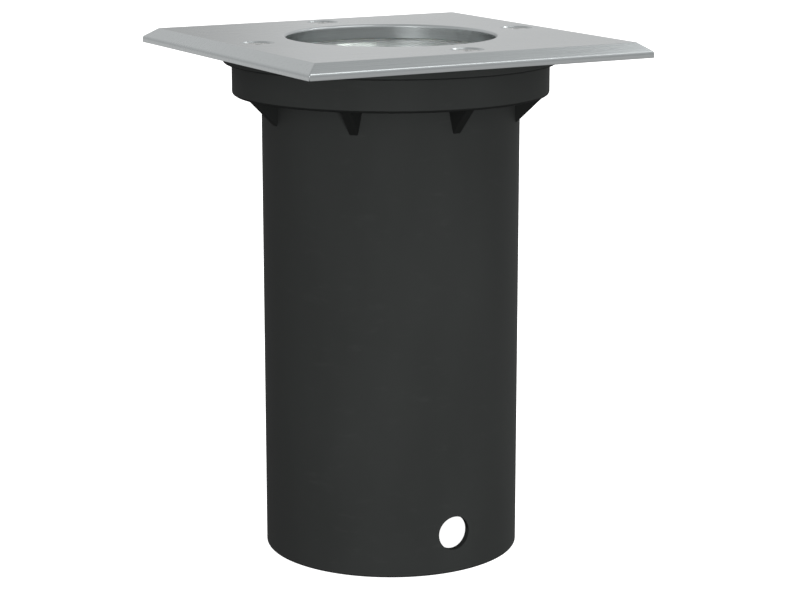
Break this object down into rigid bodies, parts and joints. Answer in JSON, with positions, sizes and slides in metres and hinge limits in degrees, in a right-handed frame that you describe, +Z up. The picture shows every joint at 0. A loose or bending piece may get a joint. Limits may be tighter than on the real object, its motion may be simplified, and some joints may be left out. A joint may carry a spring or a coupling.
{
  "type": "outdoor ground light",
  "caption": "Recessed ground light: a square brushed steel cover with a round glazed opening, on a black ground sleeve that holds a lamp housing with a cable gland.",
  "frame": {"origin": "centre of the sleeve's foot, on the surface that it stands on", "axes": "+Z up along the sleeve, towards the glass; X and Y along the cover plate's edges; the cable hole faces -Y"},
  "size_m": [0.11, 0.11, 0.1535],
  "materials": {
    "plate_steel": "fine straight brushing, satin",
    "screw_steel": "bright stainless, turned",
    "sleeve_plastic": "moulded, satin black",
    "housing_plastic": "moulded, matt black",
    "clear_glass": "clear toughened glass, polished edge",
    "black_rubber": "matt",
    "pale_silicone": "milky, satin",
    "polished_ring": "polished metal",
    "bulb_plastic": "moulded, white",
    "bulb_cover": "frosted diffuser",
    "board_metal": "white coated board",
    "chip_resin": "yellow resin",
    "pin_metal": "nickel plated",
    "holder_ceramic": "unglazed",
    "contact_brass": "plain",
    "bracket_steel": "zinc plated sheet",
    "block_plastic": "moulded, off-white",
    "lead_brown": "insulation",
    "lead_blue": "insulation",
    "lead_green": "insulation",
    "gland_plastic": "moulded nylon, black"
  },
  "bodies": {
    "sleeve": {"sleeve_tube": "sleeve_plastic", "sleeve_collar": "sleeve_plastic"},
    "cover": {"cover_plate": "plate_steel", "cover_screws": "screw_steel", "cover_gasket": "pale_silicone", "glass_lens": "clear_glass"},
    "bulb": {"bulb_body": "bulb_plastic", "bulb_lens": "bulb_cover", "led_board": "board_metal", "led_chips": "chip_resin", "bulb_base": "bulb_plastic", "bulb_pins": "pin_metal"},
    "insert": {"glass_gasket": "pale_silicone", "lamp_housing": "housing_plastic", "reflector_ring": "polished_ring", "lamp_holder": "holder_ceramic", "holder_cap": "holder_ceramic", "holder_contacts": "contact_brass", "holder_screws": "screw_steel", "holder_bracket": "bracket_steel", "bracket_screws": "screw_steel", "terminal_block": "block_plastic", "terminal_clamps": "contact_brass", "terminal_screws": "screw_steel", "block_screws": "screw_steel", "lead_live": "lead_brown", "lead_neutral": "lead_blue", "lead_earth": "lead_green", "earth_tag": "contact_brass", "earth_screw": "screw_steel", "gland_body": "gland_plastic", "gland_o_ring": "black_rubber", "gland_locknut": "gland_plastic", "gland_seal": "black_rubber", "gland_nut": "gland_plastic"}
  },
  "joints": [
    {"name": "lamp_lift", "type": "slide", "parent": "sleeve", "child": "insert", "axis": [0, 0, 1], "range_m": [0, 0.125]},
    {"name": "cover_lift", "type": "slide", "parent": "insert", "child": "cover", "axis": [0, 0, 1], "range_m": [0, 0.03]},
    {"name": "bulb_twist", "type": "hinge", "parent": "insert", "child": "bulb", "pos_m": [0, 0, 0.09], "axis": [0, 0, 1], "range_deg": [0, 25]}
  ]
}
